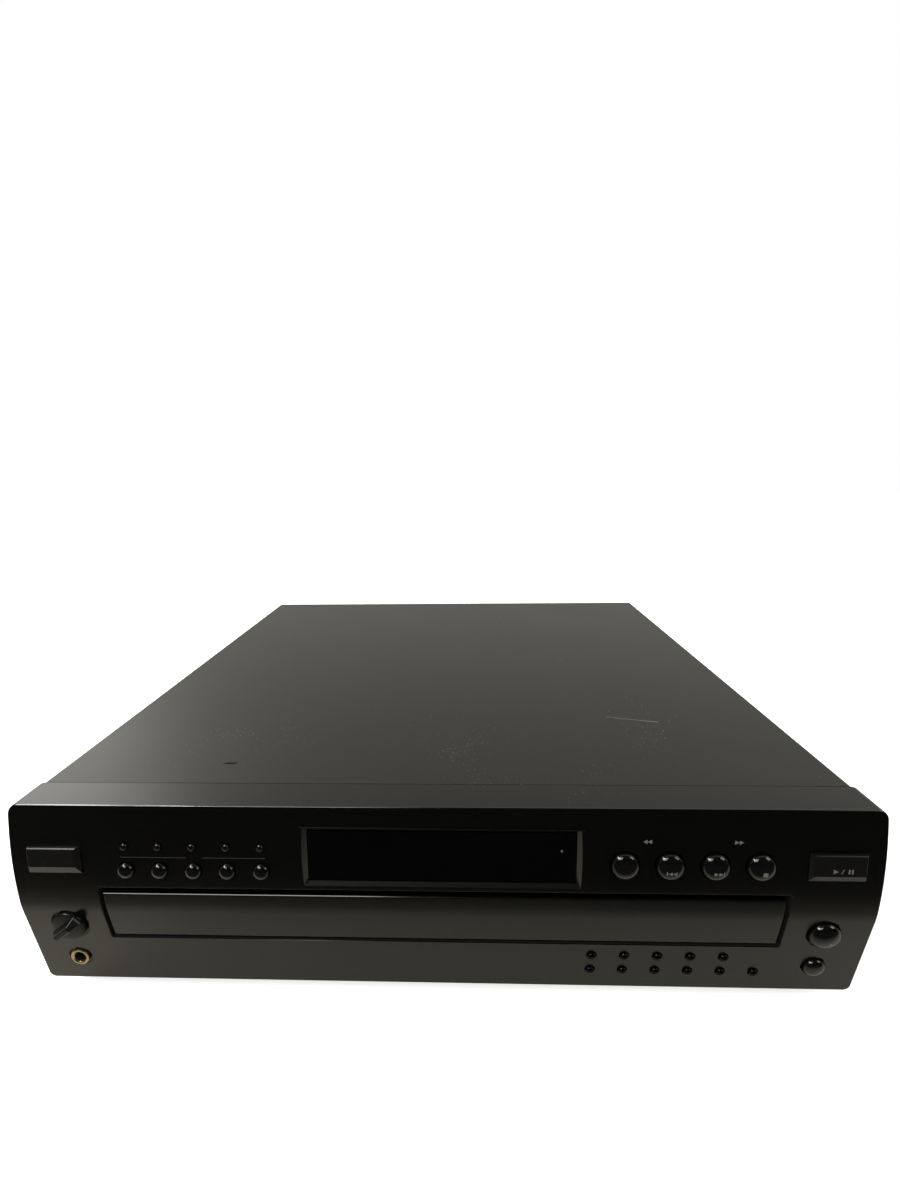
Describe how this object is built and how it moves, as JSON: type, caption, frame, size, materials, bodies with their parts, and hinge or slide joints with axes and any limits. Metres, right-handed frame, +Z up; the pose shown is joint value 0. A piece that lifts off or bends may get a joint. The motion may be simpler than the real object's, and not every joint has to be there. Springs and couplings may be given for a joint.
{
  "type": "multi disc changer",
  "caption": "Front-loading disc changer with a disc carousel in a motor drawer, display window, transport and number keys, level knob and phones jack.",
  "frame": {"origin": "middle of the whole box, on the surface that the feet stand on", "axes": "+X to the right seen from the front, along the front panel, +Y from the front panel to the back, +Z up"},
  "size_m": [0.435, 0.4048, 0.121],
  "materials": {
    "cover": "fine-grained satin paint",
    "panel": "satin black",
    "key": "satin black",
    "window": "smoked, clear",
    "board": "laminate with lacquer",
    "tray": "moulded, fine grain",
    "carousel": "moulded, fine grain",
    "frame": "moulded",
    "gear": "natural nylon",
    "steel": "zinc plated",
    "motor": "drawn can",
    "belt": "matte",
    "rubber": "matte",
    "transformer": "laminated core with a wound bobbin",
    "gold": "gold plated",
    "sled": "moulded",
    "bushing": "moulded"
  },
  "bodies": {
    "cabinet": {"front_panel": "panel", "display_window": "window", "front_board": "board", "phones_jack": "gold", "top_cover": "cover", "base_pan": "steel", "rear_panel": "cover", "feet": "rubber", "line_out_jacks": "gold", "cord_bushing": "bushing", "loader_frame": "frame", "loading_motor": "motor", "drive_belt": "belt", "clamper_bridge": "steel", "transformer": "transformer", "main_board": "board"},
    "drawer": {"tray": "tray", "tray_door": "panel", "carousel_cap": "carousel", "turntable_motor": "motor"},
    "carousel": {"carousel": "carousel"},
    "turntable_pinion": {"turntable_pinion": "gear"},
    "drive_gear": {"drive_gear": "gear"},
    "pickup_unit": {"traverse_frame": "frame", "guide_rod": "steel"},
    "disc_table": {"disc_table": "sled"},
    "pickup_sled": {"pickup_sled": "sled"},
    "clamper": {"clamper": "gear"},
    "level_knob": {"phones_knob": "key"},
    "mode_button_1": {"mode_button_1": "key"},
    "mode_button_2": {"mode_button_2": "key"},
    "mode_button_3": {"mode_button_3": "key"},
    "mode_button_4": {"mode_button_4": "key"},
    "mode_button_5": {"mode_button_5": "key"},
    "disc_button_1": {"disc_button_1": "key"},
    "disc_button_2": {"disc_button_2": "key"},
    "disc_button_3": {"disc_button_3": "key"},
    "disc_button_4": {"disc_button_4": "key"},
    "disc_button_5": {"disc_button_5": "key"},
    "disc_skip_button": {"disc_skip_button": "key"},
    "skip_back_button": {"skip_back_button": "key"},
    "skip_forward_button": {"skip_forward_button": "key"},
    "stop_button": {"stop_button": "key"},
    "number_key_1": {"number_key_1": "key"},
    "number_key_2": {"number_key_2": "key"},
    "number_key_3": {"number_key_3": "key"},
    "number_key_4": {"number_key_4": "key"},
    "number_key_5": {"number_key_5": "key"},
    "number_key_6": {"number_key_6": "key"},
    "number_key_7": {"number_key_7": "key"},
    "number_key_8": {"number_key_8": "key"},
    "number_key_9": {"number_key_9": "key"},
    "number_key_10": {"number_key_10": "key"},
    "number_key_11": {"number_key_11": "key"},
    "open_close_button": {"open_close_button": "key"},
    "exchange_button": {"exchange_button": "key"},
    "power_button": {"power_button": "key"},
    "play_button": {"play_button": "key"}
  },
  "joints": [
    {"name": "drawer_slide", "type": "slide", "parent": "cabinet", "child": "drawer", "axis": [0, -1, 0], "range_m": [0, 0.225]},
    {"name": "carousel_spin", "type": "hinge", "parent": "drawer", "child": "carousel", "pos_m": [0, 0.00665, 0.0538], "axis": [0, 0, 1], "continuous": true},
    {"name": "turntable_pinion_spin", "type": "hinge", "parent": "drawer", "child": "turntable_pinion", "pos_m": [0.057, 0.07238, 0.0498], "axis": [0, 0, 1], "continuous": true},
    {"name": "drive_gear_spin", "type": "hinge", "parent": "cabinet", "child": "drive_gear", "pos_m": [-0.085, -0.14985, 0.0435], "axis": [0, 0, 1], "range_deg": [0, 860]},
    {"name": "pickup_lift", "type": "hinge", "parent": "cabinet", "child": "pickup_unit", "pos_m": [0, 0.18535, 0.048], "axis": [-1, 0, 0], "range_deg": [0, 9]},
    {"name": "disc_table_spin", "type": "hinge", "parent": "pickup_unit", "child": "disc_table", "pos_m": [0, 0.10954, 0.04915], "axis": [0, -0.1564, 0.9877], "continuous": true},
    {"name": "sled_slide", "type": "slide", "parent": "pickup_unit", "child": "pickup_sled", "axis": [0, 0.9877, 0.1564], "range_m": [0, 0.034]},
    {"name": "clamper_spin", "type": "hinge", "parent": "cabinet", "child": "clamper", "pos_m": [0, 0.11065, 0.067], "axis": [0, 0, 1], "continuous": true},
    {"name": "level_knob_turn", "type": "hinge", "parent": "cabinet", "child": "level_knob", "pos_m": [-0.1945, -0.19286, 0.0524], "axis": [0, 1, 0], "range_deg": [-140, 140]},
    {"name": "mode_button_1_press", "type": "slide", "parent": "cabinet", "child": "mode_button_1", "axis": [0, 0.988, -0.1546], "range_m": [0, 0.0008], "stiffness_N_per_m": 300},
    {"name": "mode_button_2_press", "type": "slide", "parent": "cabinet", "child": "mode_button_2", "axis": [0, 0.988, -0.1546], "range_m": [0, 0.0008], "stiffness_N_per_m": 300},
    {"name": "mode_button_3_press", "type": "slide", "parent": "cabinet", "child": "mode_button_3", "axis": [0, 0.988, -0.1546], "range_m": [0, 0.0008], "stiffness_N_per_m": 300},
    {"name": "mode_button_4_press", "type": "slide", "parent": "cabinet", "child": "mode_button_4", "axis": [0, 0.988, -0.1546], "range_m": [0, 0.0008], "stiffness_N_per_m": 300},
    {"name": "mode_button_5_press", "type": "slide", "parent": "cabinet", "child": "mode_button_5", "axis": [0, 0.988, -0.1546], "range_m": [0, 0.0008], "stiffness_N_per_m": 300},
    {"name": "disc_button_1_press", "type": "slide", "parent": "cabinet", "child": "disc_button_1", "axis": [0, 0.9951, -0.0993], "range_m": [0, 0.0008], "stiffness_N_per_m": 300},
    {"name": "disc_button_2_press", "type": "slide", "parent": "cabinet", "child": "disc_button_2", "axis": [0, 0.9951, -0.0993], "range_m": [0, 0.0008], "stiffness_N_per_m": 300},
    {"name": "disc_button_3_press", "type": "slide", "parent": "cabinet", "child": "disc_button_3", "axis": [0, 0.9951, -0.0993], "range_m": [0, 0.0008], "stiffness_N_per_m": 300},
    {"name": "disc_button_4_press", "type": "slide", "parent": "cabinet", "child": "disc_button_4", "axis": [0, 0.9951, -0.0993], "range_m": [0, 0.0008], "stiffness_N_per_m": 300},
    {"name": "disc_button_5_press", "type": "slide", "parent": "cabinet", "child": "disc_button_5", "axis": [0, 0.9951, -0.0993], "range_m": [0, 0.0008], "stiffness_N_per_m": 300},
    {"name": "disc_skip_button_press", "type": "slide", "parent": "cabinet", "child": "disc_skip_button", "axis": [0, 0.9926, -0.1218], "range_m": [0, 0.0008], "stiffness_N_per_m": 300},
    {"name": "skip_back_button_press", "type": "slide", "parent": "cabinet", "child": "skip_back_button", "axis": [0, 0.9926, -0.1218], "range_m": [0, 0.0008], "stiffness_N_per_m": 300},
    {"name": "skip_forward_button_press", "type": "slide", "parent": "cabinet", "child": "skip_forward_button", "axis": [0, 0.9926, -0.1218], "range_m": [0, 0.0008], "stiffness_N_per_m": 300},
    {"name": "stop_button_press", "type": "slide", "parent": "cabinet", "child": "stop_button", "axis": [0, 0.9926, -0.1218], "range_m": [0, 0.0008], "stiffness_N_per_m": 300},
    {"name": "number_key_1_press", "type": "slide", "parent": "cabinet", "child": "number_key_1", "axis": [0, 0.9944, 0.1059], "range_m": [0, 0.0008], "stiffness_N_per_m": 300},
    {"name": "number_key_2_press", "type": "slide", "parent": "cabinet", "child": "number_key_2", "axis": [0, 0.9944, 0.1059], "range_m": [0, 0.0008], "stiffness_N_per_m": 300},
    {"name": "number_key_3_press", "type": "slide", "parent": "cabinet", "child": "number_key_3", "axis": [0, 0.9944, 0.1059], "range_m": [0, 0.0008], "stiffness_N_per_m": 300},
    {"name": "number_key_4_press", "type": "slide", "parent": "cabinet", "child": "number_key_4", "axis": [0, 0.9944, 0.1059], "range_m": [0, 0.0008], "stiffness_N_per_m": 300},
    {"name": "number_key_5_press", "type": "slide", "parent": "cabinet", "child": "number_key_5", "axis": [0, 0.9944, 0.1059], "range_m": [0, 0.0008], "stiffness_N_per_m": 300},
    {"name": "number_key_6_press", "type": "slide", "parent": "cabinet", "child": "number_key_6", "axis": [0, 0.9944, 0.1059], "range_m": [0, 0.0008], "stiffness_N_per_m": 300},
    {"name": "number_key_7_press", "type": "slide", "parent": "cabinet", "child": "number_key_7", "axis": [0, 0.9944, 0.1059], "range_m": [0, 0.0008], "stiffness_N_per_m": 300},
    {"name": "number_key_8_press", "type": "slide", "parent": "cabinet", "child": "number_key_8", "axis": [0, 0.9944, 0.1059], "range_m": [0, 0.0008], "stiffness_N_per_m": 300},
    {"name": "number_key_9_press", "type": "slide", "parent": "cabinet", "child": "number_key_9", "axis": [0, 0.9944, 0.1059], "range_m": [0, 0.0008], "stiffness_N_per_m": 300},
    {"name": "number_key_10_press", "type": "slide", "parent": "cabinet", "child": "number_key_10", "axis": [0, 0.9944, 0.1059], "range_m": [0, 0.0008], "stiffness_N_per_m": 300},
    {"name": "number_key_11_press", "type": "slide", "parent": "cabinet", "child": "number_key_11", "axis": [0, 0.9944, 0.1059], "range_m": [0, 0.0008], "stiffness_N_per_m": 300},
    {"name": "open_close_button_press", "type": "slide", "parent": "cabinet", "child": "open_close_button", "axis": [0, 0.9944, 0.1059], "range_m": [0, 0.0008], "stiffness_N_per_m": 300},
    {"name": "exchange_button_press", "type": "slide", "parent": "cabinet", "child": "exchange_button", "axis": [0, 0.9944, 0.1059], "range_m": [0, 0.0008], "stiffness_N_per_m": 300},
    {"name": "power_button_press", "type": "slide", "parent": "cabinet", "child": "power_button", "axis": [0, 0.9924, -0.1231], "range_m": [0, 0.0008], "stiffness_N_per_m": 300},
    {"name": "play_button_press", "type": "slide", "parent": "cabinet", "child": "play_button", "axis": [0, 0.9924, -0.1231], "range_m": [0, 0.0008], "stiffness_N_per_m": 300}
  ],
  "couplings": [
    {"joint": "turntable_pinion_spin", "follows": "carousel_spin", "ratio": -4.8},
    {"joint": "drive_gear_spin", "follows": "drawer_slide", "rad_per_m": 66.667}
  ]
}
